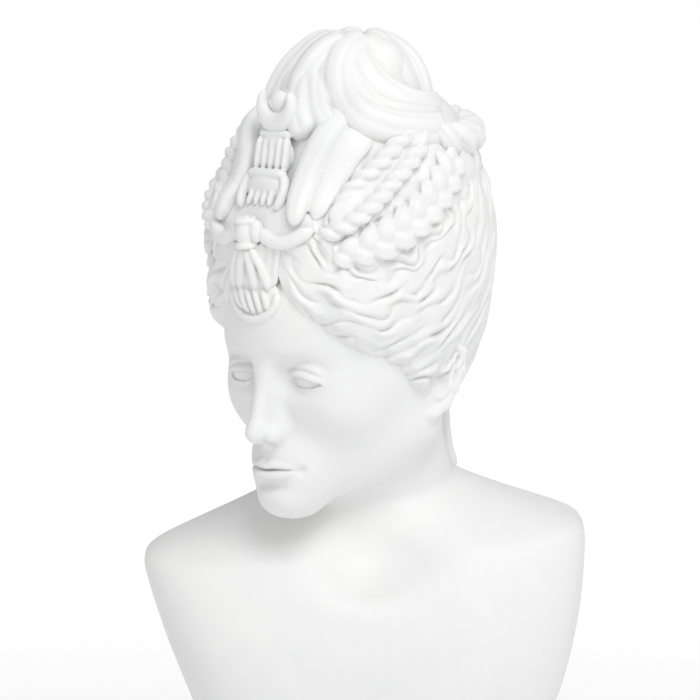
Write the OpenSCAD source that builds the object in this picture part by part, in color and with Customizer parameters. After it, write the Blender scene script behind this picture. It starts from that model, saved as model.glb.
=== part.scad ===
// Marble bust of a woman with a piled-up coiffure, on a turned socle.
// Millimetres. +Z is up and -Y is the front of the chest. The origin is the centre of the felt's underside.
// The head and the hair are drawn upright and facing -Y, in a frame of their own, and on_head() poses them.

/* [Socle] */
// Radius of the socle at the bottom
socle_r = 62; // [58:1:66]
// Height of the socle from the felt to the foot of the bust
socle_h = 62; // [58:1:64]
// Thickness of the felt under the socle
felt_t = 2; // [1.5:0.5:3]

/* [Torso] */
// Half the width between the two cut shoulders
shoulder_w = 99.5; // [96:0.5:103]
// How much higher the left shoulder is than the right, as a slope across the chest
shoulder_slope = 0.08; // [0.05:0.01:0.1]
// Height of the seam between head and torso, on the neck's centre line
seam_z = 256; // [254:1:258]

/* [Head pose] */
// Turn of the head towards the right shoulder, in degrees
head_yaw = 43; // [38:1:46]
// Nod of the head, in degrees
head_pitch = 5; // [2:1:8]
// Tilt of the crown towards the right shoulder, in degrees
head_roll = 1; // [0:1:4]

/* [Hardware] */
// Radius of the tie rod that holds the bust on its socle
rod_r = 5; // [4:0.5:6]
// Radius of the dowel in the neck
dowel_r = 5; // [4:0.5:6]
// Radius of each pin under the crown of hair
pin_r = 2.5; // [2:0.5:3]
// Gap that the setting resin fills round a pin
resin_gap = 0.25; // [0.15:0.05:0.4]

/* [Hidden] */

head_centre = [-6, -14, 320];
foot_z = felt_t + socle_h;
crown_z = 70;
ring_points = 48;
seam_lean = 0.21;
seam_centre = [3, 3.5];
cord_facets = 7;
marble = "whitesmoke";
steel = "silver";

// One row of a body's outline:
// [z, half width, front, back, squareness, slope over x, slope over y, centre x]
seam_row = [seam_z, 39.5, -27, 34, 2, shoulder_slope, seam_lean, 3];
torso_rows = [
    [foot_z, 44, -40, 38, 2.3, 0, 0, 0],
    [90, 53, -45, 43, 2.5, 0, 0, 1],
    [125, 69, -52, 48, 2.8, 0, 0, 3.5],
    [158, 82.5, -57, 51, 3.2, 0.03, 0, 5],
    [188, 92.5, -58, 52, 3.5, 0.05, 0, 3],
    [210, shoulder_w - 2.5, -54, 51, 3.7, 0.07, 0, 1],
    [222, shoulder_w, -48, 48, 3.7, shoulder_slope, 0, 0],
    [228, shoulder_w - 1, -43, 45, 3.4, shoulder_slope, 0.02, 0],
    [232, shoulder_w - 5.5, -39, 43, 3.1, shoulder_slope, 0.05, 0],
    [237, 84, -35, 40, 2.8, shoulder_slope, 0.08, 0],
    [243.5, 67, -31, 38, 2.5, shoulder_slope, 0.12, 1],
    [249.5, 52, -28, 36, 2.3, shoulder_slope, 0.16, 2],
    [253, 44, -27, 35, 2.1, shoulder_slope, 0.19, 3],
    seam_row,
];
neck_rows = [
    seam_row,
    [264, 37.5, -29, 31, 2, 0.08, 0.2, 2.5],
    [272, 35.5, -31, 28, 2, 0.05, 0.15, 2],
    [285, 34, -32, 26, 2, 0, 0.1, 1],
    [298, 33, -32, 24, 2, 0, 0, 0],
];
// The skull and face
head_rows = [
    [-72, 12, -54, -30, 2, 0, 0, 0],
    [-68, 22, -58, -25, 2.1, 0, 0, 0],
    [-60, 30, -58.5, -9, 2.2, 0, 0, 0],
    [-50, 36, -57, 12, 2.2, 0, 0, 0],
    [-40, 39.5, -57, 26, 2.2, 0, 0, 0],
    [-28, 42.5, -58, 40, 2.2, 0, 0, 0],
    [-14, 44.5, -57, 50, 2.2, 0, 0, 0],
    [0, 45.5, -56, 56, 2.2, 0, 0, 0],
    [14, 46.5, -58, 59, 2.2, 0, 0, 0],
    [30, 46, -57.5, 58, 2.2, 0, 0, 0],
    [44, 42, -51, 54, 2.1, 0, 0, 0],
    [56, 34, -40, 45, 2, 0, 0, 0],
    [64, 23, -27, 32, 2, 0, 0, 0],
    [69, 6, -8, 10, 2, 0, 0, 0],
];
// The outside of the combed hair, up to the level the crown stands on, then the core of crown and topknot
cap_rows = [
    [-46, 34, -40, 30, 2, 0, 0, 0],
    [-28, 45, -50, 48, 2, 0, 0, 0],
    [-14, 49.5, -56, 59, 2, 0, 0, 0],
    [0, 53, -59, 66, 2, 0, 0, 0],
    [14, 56, -60, 70, 2, 0, 0, 0],
    [30, 58, -59, 72, 2, 0, 0, 0],
    [44, 59, -57, 73, 2, 0, 0, 0],
    [58, 59, -57, 73, 2, 0, 0, 0],
    [crown_z, 57, -51, 70, 2, 0, 0, 0],
];
crown_rows = [
    [crown_z, 57, -51, 70, 2, 0, 0, 0],
    [78, 56, -42, 68, 2, 0, 0, 0],
    [88, 52, -36, 65, 2, 0, 0, 0],
    [98, 45, -33, 60, 2, 0, 0, 0],
    [106, 36, -29, 54, 2, 0, 0, 0],
    [113, 28, -19, 47, 2, 0, 0, 0],
    [121, 23, -10, 41, 2, 0, 0, 0],
    [129, 18, -3, 35, 2, 0, 0, 0],
    [134, 9, 6, 26, 2, 0, 0, 0],
];
hair_rows = concat(cap_rows, [for (i = [1 : len(crown_rows) - 1]) crown_rows[i]]);

// A smooth curve through four rows, between the middle two, and a whole table refined with it
function between(a, b, c, d, t) =
    0.5 * (2 * b + (c - a) * t + (2 * a - 5 * b + 4 * c - d) * t * t + (3 * b - a - 3 * c + d) * t * t * t);
function smooth(rows, steps) =
    let (last = len(rows) - 1)
    [
        for (i = [0 : last - 1], s = [0 : steps - 1])
            between(rows[max(i - 1, 0)], rows[i], rows[i + 1], rows[min(i + 2, last)], s / steps),
        rows[last]
    ];
function signed_power(v, p) = sign(v) * pow(abs(v), p);
// The closed outline of one row. Its front and back halves may be of different depth.
function outline(row) =
    let (middle = (row[2] + row[3]) / 2, depth = (row[3] - row[2]) / 2, e = 2 / row[4])
    [
        for (i = [0 : ring_points - 1])
            let (
                a = 360 * i / ring_points,
                x = row[7] + row[1] * signed_power(cos(a), e),
                y = middle + depth * signed_power(sin(a), e)
            )
            [x, y, row[0] + row[5] * x + row[6] * y]
    ];
function outlines(rows, steps) = [for (row = smooth(rows, steps)) outline(row)];

// How far the nose stands out of the face at a height
function nose_at(z) = lookup(z, [[-37, 0], [-33, 13], [-29, 15], [-12, 7], [2, 0]]);
function with_nose(ring) = [
    for (p = ring)
        p.y < 0 ? [p.x, p.y - nose_at(p.z) * exp(-pow(p.x / 6, 2)), p.z] : p
];
// Combed waves that climb towards the back of the head
function with_waves(ring) = [
    for (p = ring)
        let (
            a = atan2(abs(p.x), -p.y),
            fade = min(1, max(0, (crown_z - p.z) / 20)),
            swell = 1 + 0.02 * sin(12 * a - 5 * p.z) * fade
        )
        [p.x * swell, p.y * swell, p.z]
];

// A point on the hair at an angle from the middle of the face, at a height, lifted off the surface
function on_hair(a, z, lift) =
    let (
        w = lookup(z, [for (row = hair_rows) [row[0], row[1]]]),
        f = lookup(z, [for (row = hair_rows) [row[0], row[2]]]),
        b = lookup(z, [for (row = hair_rows) [row[0], row[3]]])
    )
    [(w + lift) * sin(a), (f + b) / 2 - ((b - f) / 2 + lift) * cos(a), z];
// A path over the hair through [angle, height] points, in a number of steps between each two
function path_on_hair(stations, steps, lift) =
    [for (s = smooth(stations, steps)) on_hair(s[0], s[1], lift)];

// A closed solid through a stack of outlines that have the same number of points, from the lowest up
module loft(rings) {
    n = len(rings[0]);
    last = len(rings) - 1;
    sides = [
        for (r = [0 : last - 1], i = [0 : n - 1])
            let (a = r * n + i, b = r * n + (i + 1) % n)
            each [[a, a + n, b], [b, a + n, b + n]]
    ];
    bottom = [[for (i = [0 : n - 1]) i]];
    top = [[for (i = [n - 1 : -1 : 0]) last * n + i]];
    points = [for (ring = rings) each ring];
    polyhedron(points, concat(bottom, sides, top), convexity = 8);
}

// A row of balls joined up, with a radius for each
module cord(points, radii) {
    for (i = [0 : len(points) - 2])
        hull() {
            translate(points[i]) sphere(r = radii[i], $fn = cord_facets);
            translate(points[i + 1]) sphere(r = radii[i + 1], $fn = cord_facets);
        }
}

// Strands that wind round a path, one turn in every so many steps
module twist(path, strands, wind_r, strand_r, steps_per_turn) {
    last = len(path) - 1;
    for (s = [0 : strands - 1])
        cord(
            [
                for (i = [0 : last])
                    let (
                        d = path[min(i + 1, last)] - path[max(i - 1, 0)],
                        along = d / norm(d),
                        out = [path[i].x, path[i].y - 10, 0] / norm([path[i].x, path[i].y - 10, 0]),
                        side = cross(along, out) / norm(cross(along, out)),
                        a = 360 * (i / steps_per_turn + s / strands)
                    )
                    path[i] + wind_r * (cos(a) * side + sin(a) * out)
            ],
            [for (i = [0 : last]) strand_r * min(1, 0.6 + 0.4 * min(i, last - i))]
        );
}

// A flat plait of three strands that weave across a path
module plait(path, half_w, strand_r, steps_per_turn) {
    last = len(path) - 1;
    for (s = [0 : 2])
        cord(
            [
                for (i = [0 : last])
                    let (
                        d = path[min(i + 1, last)] - path[max(i - 1, 0)],
                        along = d / norm(d),
                        out = [path[i].x, path[i].y - 10, 0] / norm([path[i].x, path[i].y - 10, 0]),
                        side = cross(along, out) / norm(cross(along, out)),
                        a = 360 * (i / steps_per_turn + s / 3)
                    )
                    path[i] + half_w * sin(a) * side + 1.5 * sin(2 * a) * out
            ],
            [for (i = [0 : last]) strand_r]
        );
}

module on_head() {
    translate(head_centre) rotate([0, -head_roll, 0]) rotate([head_pitch, 0, -head_yaw]) children();
}

// Along the axis of the neck dowel, which is square to the seam
module on_seam() {
    lean = atan(seam_lean);
    rise = seam_centre.x * shoulder_slope + seam_centre.y * seam_lean;
    translate([seam_centre.x, seam_centre.y, seam_z + rise])
        rotate([lean, -atan(shoulder_slope), 0]) children();
}

module on_left(left) {
    mirror([left ? 0 : 1, 0, 0]) children();
}

module skull() {
    loft([for (ring = outlines(head_rows, 2)) with_nose(ring)]);
}

module neck() {
    loft(outlines(neck_rows, 2));
}

module cap_shape() {
    loft([for (ring = outlines(cap_rows, 3)) with_waves(ring)]);
}

module crown_shape() {
    loft(outlines(crown_rows, 2));
}

// What the ornaments, rolls and braids are bedded on
module hair_core() {
    cap_shape();
    crown_shape();
}

// Everything below the hairline, which drops from the brow to the ears and is level round the nape
module below_hairline() {
    translate([0, 0, -12]) rotate([-45, 0, 0]) translate([-100, -100, -200]) cube([200, 200, 200]);
    translate([-100, -100, -236]) cube([200, 200, 200]);
}

module pin_pair(r) {
    for (x = [-15, 15])
        translate([x, 8, crown_z - 16]) cylinder(r = r, h = 32, $fn = 32);
}

module base_felt() {
    color("darkgreen") cylinder(r = socle_r - 3, h = felt_t, $fn = 96);
}

// A bead round the socle
module ring_moulding(at_r, z, bead_r) {
    rotate_extrude($fn = 96) translate([at_r, z]) circle(r = bead_r, $fn = 48);
}

module socle() {
    plinth_h = 12;
    waist_r = 38;
    top_r = 52;
    top_h = 9;
    recess_r = 18;
    recess_h = 14;
    bead_r = 4;
    color(marble) translate([0, 0, felt_t]) difference() {
        union() {
            cylinder(r = socle_r, h = plinth_h, $fn = 96);
            ring_moulding(socle_r - 8, plinth_h + 3, bead_r + 1);
            cylinder(r = socle_r - 8, h = plinth_h + 7, $fn = 96);
            cylinder(r1 = socle_r - 14, r2 = waist_r, h = socle_h - top_h - 8, $fn = 96);
            cylinder(r = waist_r, h = socle_h - top_h + 1, $fn = 96);
            translate([0, 0, socle_h - top_h]) cylinder(r = top_r, h = top_h, $fn = 96);
            ring_moulding(waist_r + 3, socle_h - top_h - 3, bead_r);
        }
        translate([0, 0, -1]) cylinder(r = rod_r + resin_gap, h = socle_h + 2, $fn = 48);
        translate([0, 0, -1]) cylinder(r = recess_r, h = recess_h + 1, $fn = 64);
    }
}

module tie_rod() {
    color(steel) translate([0, 0, felt_t + 3]) cylinder(r = rod_r, h = socle_h + 48, $fn = 48);
}

module washer() {
    color(steel) translate([0, 0, felt_t + 12]) difference() {
        cylinder(r = 12, h = 2, $fn = 64);
        translate([0, 0, -1]) cylinder(r = rod_r + 0.3, h = 4, $fn = 48);
    }
}

module nut() {
    color(steel) translate([0, 0, felt_t + 4]) difference() {
        cylinder(r = 9.2, h = 8, $fn = 6);
        translate([0, 0, -1]) cylinder(r = rod_r + 0.05, h = 10, $fn = 48);
    }
}

module torso() {
    color(marble) difference() {
        loft(outlines(torso_rows, 2));
        translate([0, 0, foot_z - 1]) cylinder(r = rod_r + resin_gap, h = 54, $fn = 48);
        on_seam() translate([0, 0, -36]) cylinder(r = dowel_r + resin_gap, h = 40, $fn = 48);
    }
}

module neck_dowel() {
    color(steel) on_seam() translate([0, 0, -34]) cylinder(r = dowel_r, h = 68, $fn = 48);
}

module head() {
    color(marble) difference() {
        union() {
            on_head() skull();
            on_head() ear(1);
            on_head() ear(-1);
            neck();
        }
        on_seam() translate([0, 0, -4]) cylinder(r = dowel_r + resin_gap, h = 40, $fn = 48);
        on_head() pin_pair(pin_r + resin_gap);
    }
}

module ear(side) {
    hull() {
        translate([side * 46, 13, -4]) sphere(r = 4.5, $fn = 12);
        translate([side * 45.5, 5, -6]) sphere(r = 3.5, $fn = 12);
        translate([side * 43.5, 5, -26]) sphere(r = 3.5, $fn = 12);
    }
}

module hair_cap() {
    color(marble) difference() {
        on_head() cap_shape();
        on_head() skull();
        on_head() below_hairline();
        on_head() ear(1);
        on_head() ear(-1);
        on_head() pin_pair(pin_r + resin_gap);
        neck();
    }
}

module crown_pins() {
    color(steel) on_head() pin_pair(pin_r);
}

module crown_block() {
    color(marble) on_head() difference() {
        crown_shape();
        pin_pair(pin_r + resin_gap);
    }
}

module topknot_rolls() {
    first = [[250, 108], [290, 116], [330, 124], [370, 128], [410, 124], [440, 117]];
    second = [[70, 108], [110, 116], [150, 124], [190, 128], [230, 124], [260, 117]];
    color(marble) on_head() difference() {
        union() {
            cord(path_on_hair(first, 2, 0), [for (i = [0 : 10]) 7]);
            cord(path_on_hair(second, 2, 0), [for (i = [0 : 10]) 7]);
            cord([[-7, 20, 133], [3, 12, 134], [10, 20, 133]], [5, 4.5, 5]);
        }
        hair_core();
    }
}

module back_coil() {
    stations = [[112, 92], [132, 92], [156, 92], [180, 92], [204, 92], [228, 92], [248, 92]];
    color(marble) on_head() difference() {
        twist(path_on_hair(stations, 3, 0), 2, 4, 6, 6);
        hair_core();
    }
}

module side_braid(left) {
    stations = [[33, 50], [46, 54], [62, 61], [80, 69], [98, 76]];
    color(marble) on_head() difference() {
        on_left(left) plait(path_on_hair(stations, 4, 0), 6.5, 4, 5);
        hair_core();
    }
}

module side_braid_left() {
    side_braid(true);
}

module side_braid_right() {
    side_braid(false);
}

module rope_loop(left) {
    course = [[34, 70], [50, 76], [66, 82], [82, 88], [96, 92]];
    color(marble) on_head() difference() {
        on_left(left) twist(path_on_hair(course, 4, 0.5), 2, 3, 3.8, 4);
        hair_core();
    }
}

module rope_loop_left() {
    rope_loop(true);
}

module rope_loop_right() {
    rope_loop(false);
}

module front_roll(left) {
    stations = [[25, 73], [26, 80], [30, 88], [36, 97], [43, 105]];
    color(marble) on_head() difference() {
        on_left(left) cord(path_on_hair(stations, 2, 1), [4, 5, 6, 6.5, 6.5, 6.5, 6, 5, 4]);
        hair_core();
    }
}

module front_roll_left() {
    front_roll(true);
}

module front_roll_right() {
    front_roll(false);
}

module comb_ornament() {
    color(marble) on_head() difference() {
        union() {
            for (i = [-2 : 2])
                hull() {
                    translate([i * 4.4, -40.5, 86]) sphere(r = 2.1, $fn = 8);
                    translate([i * 4.4, -36, 98]) sphere(r = 2.1, $fn = 8);
                }
            cord([[-12, -42, 85], [0, -43, 84], [12, -42, 85]], [2.6, 2.6, 2.6]);
            for (i = [-1.5 : 1.5])
                hull() {
                    translate([i * 4.4, -49, 72]) sphere(r = 2, $fn = 8);
                    translate([i * 4.4, -43, 82.5]) sphere(r = 2, $fn = 8);
                }
        }
        hair_core();
    }
}

module crescent_ornament() {
    color(marble) on_head() difference() {
        cord(
            [for (a = [-120 : 24 : 120]) [9.5 * sin(a), -34, 114 - 9.5 * cos(a)]],
            [for (a = [-120 : 24 : 120]) 1 + 2.8 * cos(a * 0.7)]
        );
        hair_core();
    }
}

module front_band() {
    half = path_on_hair([[8, 60], [14, 57], [21, 58], [27, 64]], 2, 1);
    color(marble) on_head() difference() {
        for (side = [-1, 1])
            cord([for (p = half) [side * p.x, p.y, p.z]], [for (p = half) 3.8]);
        hair_core();
    }
}

module brow_knot() {
    color(marble) on_head() difference() {
        hull() {
            translate([0, -57, 67]) sphere(r = 4.2, $fn = 12);
            translate([0, -59, 54]) sphere(r = 4.2, $fn = 12);
        }
        hair_core();
    }
}

module brow_pendant() {
    color(marble) on_head() difference() {
        union() {
            for (side = [-1, 0, 1])
                hull() {
                    translate([side * 2, -59, 47]) sphere(r = 2.4, $fn = 8);
                    translate([side * 6, -60, 35]) sphere(r = 3, $fn = 8);
                }
            cord([for (a = [-90 : 20 : 90]) [8 * sin(a), -60.5, 33 - 8 * cos(a)]], [for (i = [0 : 9]) 3.2]);
        }
        hair_core();
        skull();
    }
}

module nape_ribbon() {
    color(marble) difference() {
        cord([[36.5, 21, 298], [38.5, 19, 284], [40, 17, 270], [44, 16, 258]], [3, 3, 2.8, 2.8]);
        on_head() hair_core();
        on_head() skull();
        neck();
        loft(outlines(torso_rows, 2));
    }
}

base_felt();
nut();
washer();
tie_rod();
socle();
torso();
neck_dowel();
head();
hair_cap();
crown_pins();
crown_block();
topknot_rolls();
back_coil();
side_braid_left();
side_braid_right();
rope_loop_left();
rope_loop_right();
front_roll_left();
front_roll_right();
comb_ornament();
crescent_ornament();
front_band();
brow_knot();
brow_pendant();
nape_ribbon();
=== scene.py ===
"""Looks of the marble bust: skin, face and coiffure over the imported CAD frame. Lengths here are in millimetres
until mesh_object(), which makes metres."""

import math

import bmesh
import bpy
import numpy as np
from mathutils import Matrix, Vector


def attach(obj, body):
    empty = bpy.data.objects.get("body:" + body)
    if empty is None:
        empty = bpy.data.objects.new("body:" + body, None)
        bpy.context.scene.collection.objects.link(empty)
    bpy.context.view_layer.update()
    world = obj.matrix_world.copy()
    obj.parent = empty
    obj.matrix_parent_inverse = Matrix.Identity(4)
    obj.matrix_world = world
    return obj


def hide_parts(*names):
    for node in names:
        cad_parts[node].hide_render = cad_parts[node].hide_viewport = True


SEAM_Z, SEAM_X, SEAM_Y = 256.0, 0.08, 0.21  # the neck joint: z = SEAM_Z + SEAM_X x + SEAM_Y y
HEAD_CENTRE = np.array([-6.0, -14.0, 320.0])
HEAD_TURN = (
    Matrix.Rotation(math.radians(-1), 3, "Y")
    @ Matrix.Rotation(math.radians(-43), 3, "Z")
    @ Matrix.Rotation(math.radians(5), 3, "X")
)
TURN = np.array(HEAD_TURN, float)
FOOT_Z = 64.0  # where the chest stands on the socle
CAP_TOP, CROWN_FOOT, CROWN_TOP = 73, 69, 134  # heights in the head's frame
SKIN_CELL = 0.86  # grid the head's surface is found on
VOXEL = 0.5  # grid the carved hair pieces are fused on
DETAIL = 1.0  # share of the hair grids' full rows and columns
AXIS_Y = 4.0  # the hair's angles are taken round this upright axis of the head's frame

# ---------------------------------------------------------------- outlines, near the CAD's
# z, half width, front, back, squareness, slope over x, slope over y, centre x
TORSO_ROWS = np.array([
    [64, 44, -40, 38, 2.3, 0, 0, 0], [90, 53, -45, 43, 2.5, 0, 0, 1], [125, 69, -52, 48, 2.8, 0, 0, 3.5],
    [158, 82.5, -56.5, 51, 3.2, 0.03, 0, 6.5], [188, 92, -56.5, 52, 3.3, 0.05, 0, 5],
    [210, 97, -51, 51, 3.3, 0.07, 0, 3], [222, 99, -45.5, 48, 3.3, 0.075, 0, 1.5],
    [228, 99, -42, 45, 3.15, 0.075, 0.02, 0.8], [232, 95.5, -39, 43, 2.95, 0.08, 0.05, 0.3],
    [237, 83.5, -35.5, 40, 2.7, 0.08, 0.08, 0], [243.5, 65, -31.5, 38, 2.45, 0.08, 0.12, 0.5],
    [249.5, 49.5, -28.5, 36, 2.25, 0.08, 0.16, 1.2], [253, 42, -27.3, 35, 2.1, 0.08, 0.19, 2],
    [256, 38, -27, 34, 2, 0.08, 0.21, 2.4],
])
NECK_ROWS = np.array([
    [256, 38, -27, 34, 2, 0.08, 0.21, 2.4], [264, 36, -28.5, 31, 2, 0.08, 0.2, 2.3],
    [272, 34.8, -30.5, 28, 2, 0.05, 0.15, 2], [285, 34, -32, 26, 2, 0, 0.1, 1],
    [298, 33, -32, 24, 2, 0, 0, 0],
])
# z, half width, front, back
HAIR_ROWS = np.array([
    [-46, 34, -40, 30], [-28, 45, -50, 48], [-14, 49.5, -56, 60], [0, 53, -59, 68], [14, 56.5, -60, 72.5],
    [30, 59, -60, 75], [44, 60, -58, 76], [58, 60, -57, 75.5], [70, 58, -51, 72.5], [78, 56, -42, 69],
    [88, 52, -36, 65], [98, 45, -33, 60], [106, 36, -29, 54], [113, 28, -19, 47], [121, 23, -10, 41],
    [129, 18, -3, 35], [134, 9, 6, 26],
])


def smooth_rows(rows, steps):
    """Catmull-Rom through the rows, with the ends repeated, as the CAD does it."""
    rows = np.asarray(rows, float)
    ext = np.vstack([rows[:1], rows, rows[-1:]])
    out = []
    for i in range(len(rows) - 1):
        a, b, c, d = ext[i : i + 4]
        for s in range(steps):
            t = s / steps
            curve = 2 * b + (c - a) * t + (2 * a - 5 * b + 4 * c - d) * t * t + (3 * b - a - 3 * c + d) * t**3
            out.append(0.5 * curve)
    out.append(rows[-1])
    return np.array(out)


BODY = smooth_rows(np.vstack([TORSO_ROWS, NECK_ROWS[1:]]), 12)
for _ in range(40):  # eases the shoulders' upper edge
    BODY[60:-12] = 0.5 * BODY[60:-12] + 0.25 * (BODY[59:-13] + BODY[61:-11])
HAIR = smooth_rows(HAIR_ROWS, 8)


def to_world(p):
    return p @ TURN.T + HEAD_CENTRE


def to_head(p):
    return (p - HEAD_CENTRE) @ TURN


# ---------------------------------------------------------------- implicit shapes
def smin(a, b, k):
    h = np.clip(0.5 + 0.5 * (b - a) / k, 0, 1)
    return b + (a - b) * h - k * h * (1 - h)


def smax(a, b, k):
    return -smin(-a, -b, k)


def blob(x, y, z, c, r):
    """About the distance to an ellipsoid."""
    qx, qy, qz = (x - c[0]) / r[0], (y - c[1]) / r[1], (z - c[2]) / r[2]
    k0 = np.sqrt(qx * qx + qy * qy + qz * qz)
    k1 = np.sqrt((qx / r[0]) ** 2 + (qy / r[1]) ** 2 + (qz / r[2]) ** 2) + 1e-9
    return k0 * (k0 - 1) / k1


def rod(x, y, z, a, b, ra, rb):
    """About the distance to a rod with round ends whose radius goes from ra to rb."""
    ax, ay, az = a
    dx, dy, dz = b[0] - ax, b[1] - ay, b[2] - az
    t = np.clip(((x - ax) * dx + (y - ay) * dy + (z - az) * dz) / (dx * dx + dy * dy + dz * dz), 0, 1)
    away = np.sqrt((x - ax - t * dx) ** 2 + (y - ay - t * dy) ** 2 + (z - az - t * dz) ** 2)
    return away - (ra + t * (rb - ra))


def chain(x, y, z, points, radii, k):
    d = None
    for a, b, ra, rb in zip(points[:-1], points[1:], radii[:-1], radii[1:]):
        e = rod(x, y, z, a, b, ra, rb)
        d = e if d is None else smin(d, e, k)
    return d


def body_field(x, y, z):
    """Torso and neck, in the frame of the whole bust."""
    row = z.copy()
    for _ in range(4):
        row = z - np.interp(row, BODY[:, 0], BODY[:, 5]) * x - np.interp(row, BODY[:, 0], BODY[:, 6]) * y
    w, f, b, e, cx = (np.interp(row, BODY[:, 0], BODY[:, i]) for i in (1, 2, 3, 4, 7))
    my, dy = (f + b) / 2, (b - f) / 2
    gx, gy = np.abs(x - cx) / w + 1e-6, np.abs(y - my) / dy + 1e-6
    g = (gx**e + gy**e) ** (1 / e)
    r = np.sqrt((x - cx) ** 2 + (y - my) ** 2)
    d = r * (1 - 1 / np.maximum(g, 0.05))
    # the hollow at the foot of the neck, small and deep, then wide
    d = smax(d, -blob(x, y, z, (1, -62, 221), (9, 13, 10)), 12)
    return smax(d, -blob(x, y, z, (5, -62, 237), (36, 29, 26)), 13)


def head_field(x, y, z):
    """Skull, face and ears, in the head's own frame."""
    ax = np.abs(x)
    # skull, cheeks, forehead, cheekbones, jaw and chin
    d = blob(x, y, z, (0, 2, 13), (46, 59, 56))
    d = smin(d, blob(x, y, z, (0, -8, -12), (42, 45.5, 51)), 12)
    d = smin(d, blob(x, y, z, (0, -9, 22), (44.5, 47.5, 36)), 12)
    d = smin(d, blob(ax, y, z, (24, -30, -17), (13, 15, 14)), 16)
    d = smin(d, rod(ax, y, z, (3, -39, -56), (31, 4, -36), 11, 10), 18)
    d = smin(d, blob(x, y, z, (0, -43.0, -59), (12.5, 12, 11.5)), 11)
    # the mound of the mouth
    d = smin(d, blob(x, y, z, (0, -44.5, -45), (16.5, 13, 14)), 12)
    # brow, then eye sockets, the ball of the eye and its lids
    d = smin(d, rod(ax, y, z, (9, -49.5, 6.5), (28, -40, 7), 3.6, 3.0), 9)
    d = smax(d, -blob(ax, y, z, (19.5, -57.4, -4.6), (13, 9.6, 7.6)), 7)
    d = smax(d, -blob(ax, y, z, (11.5, -60.5, -3.5), (4.6, 6.5, 7)), 6)
    ex, ey, ez, er = 18.8, -42.2, -5.6, 8.9
    sx, sz = ax - ex, z - ez
    ball = np.sqrt((sx / 1.08) ** 2 + (y - ey) ** 2 + sz**2) - er
    u = np.clip((sx + 0.6) / 10.0, -1.2, 1.2)
    upper = -1.7 + 2.6 * (1 - u * u) - 0.7 * u
    lower = -1.7 - 2.2 * (1 - u * u) - 0.7 * u
    shell = np.sqrt((sx / 1.12) ** 2 + (y - ey) ** 2 + sz**2) - er
    lid_up = smax(shell - 1.8, upper - sz, 0.6)
    lid_low = smax(shell - 1.2, sz - lower, 0.6)
    eye = smin(smin(ball, lid_up, 0.3), lid_low, 0.3)
    near = (np.abs(sx) < 14) & (np.abs(sz) < 12)
    d = smin(d, np.where(near, eye, 9.0), 1.2)
    front = np.clip((-38 - y) / 4, 0, 1)
    fold = np.exp(-(((sz - upper - 3.4) / 0.95) ** 2)) * np.exp(-((sx / 9.0) ** 4))
    d = d + 1.1 * fold * front
    # nose
    nose = rod(x, y, z, (0, -52.8, 4), (0, -62.2, -24), 2.6, 3.3)
    nose = smin(nose, blob(x, y, z, (0, -63.6, -28.6), (4.4, 4.8, 4.4)), 4)
    nose = smin(nose, rod(ax, y, z, (1.4, -50, 0), (4.9, -55, -27), 3.0, 4.2), 5)
    nose = smin(nose, blob(ax, y, z, (5.8, -57.8, -30.2), (3.1, 4.8, 3.6)), 2.8)
    nose = smin(nose, rod(x, y, z, (0, -63.6, -31.4), (0, -57.5, -34), 1.9, 2.0), 2)
    d = smin(d, nose, 5)
    d = smax(d, -blob(ax, y, z, (3.3, -59.8, -34.2), (1.7, 2.6, 1.5)), 1.6)
    # lips, the line between them, the corners, the groove over them and the hollow under them, and the chin
    half_mouth = 14.8
    part = np.clip(ax / half_mouth, 0, 1)
    full = np.sqrt(1 - part * part)
    before = np.hypot(y + 58.3 - 0.030 * x * x, np.maximum(ax - half_mouth, 0))
    bow = 0.6 * np.exp(-((x / 2.4) ** 2))
    up = np.hypot(before, z + 43.9 + 2.1 * part * part + bow) - 2.3 * full + 1.2 * part**4
    low = np.hypot(before, z + 48.6 - 1.7 * part * part) - 3.0 * full + 1.2 * part**4
    d = smin(d, up, 1.2)
    d = smin(d, low, 1.2)
    line = -46.0 - 0.35 * np.cos(x / 2.6) * np.exp(-((x / 7) ** 2)) - 0.0035 * x * x
    groove = 1.3 * np.exp(-(((z - line) / 0.7) ** 2)) * np.exp(-((x / 13.6) ** 6))
    d = d + groove * np.clip((-48 - y) / 3, 0, 1)
    d = smax(d, -blob(ax, y, z, (15.4, -53.0, -46.7), (1.6, 1.9, 1.6)), 3)
    d = smax(d, -blob(x, y, z, (0, -60.6, -38.4), (1.7, 1.9, 3.4)), 2.4)
    d = smax(d, -blob(x, y, z, (0, -59.2, -54.4), (10, 4.0, 3.0)), 4)
    d = smin(d, blob(x, y, z, (0, -50.2, -61), (10, 8, 7)), 6)
    # ears
    tx, ty, tz = ax - 44.4, y - 8.0, z + 14.0
    ty, tz = ty * math.cos(0.17) - tz * math.sin(0.17), ty * math.sin(0.17) + tz * math.cos(0.17)
    tx = tx - 0.20 * ty
    rim = chain(tx, ty, tz, [(0.5, -6.5, -1), (2.0, -7, 8), (3.4, -3, 14.5), (4.0, 4, 16), (4.0, 9.3, 11.5),
                             (3.6, 9.6, 3.5), (2.8, 7.0, -5), (1.8, 3, -12.5), (1.0, -2.0, -16.5)],
                [1.3, 1.6, 1.8, 2.0, 2.0, 1.9, 1.9, 2.4, 2.8], 1.8)
    plate = blob(tx, ty, tz, (-0.4, 1.5, 0.0), (2.8, 8.5, 15.5))
    inner = chain(tx, ty, tz, [(2.6, 1, 10), (3.2, 5.0, 5), (3.0, 4.0, -4), (2.4, 0.2, -9)],
                  [1.2, 1.5, 1.5, 1.4], 1.8)
    ear = smin(smin(plate, rim, 2.0), inner, 1.6)
    ear = smin(ear, blob(tx, ty, tz, (1.4, -7.0, -4.0), (2.1, 2.0, 3.0)), 1.8)
    ear = smax(ear, -blob(tx, ty, tz, (3.4, -1.2, -2.5), (2.4, 3.7, 5.2)), 1.5)
    return smin(d, ear, 3.2)


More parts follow.
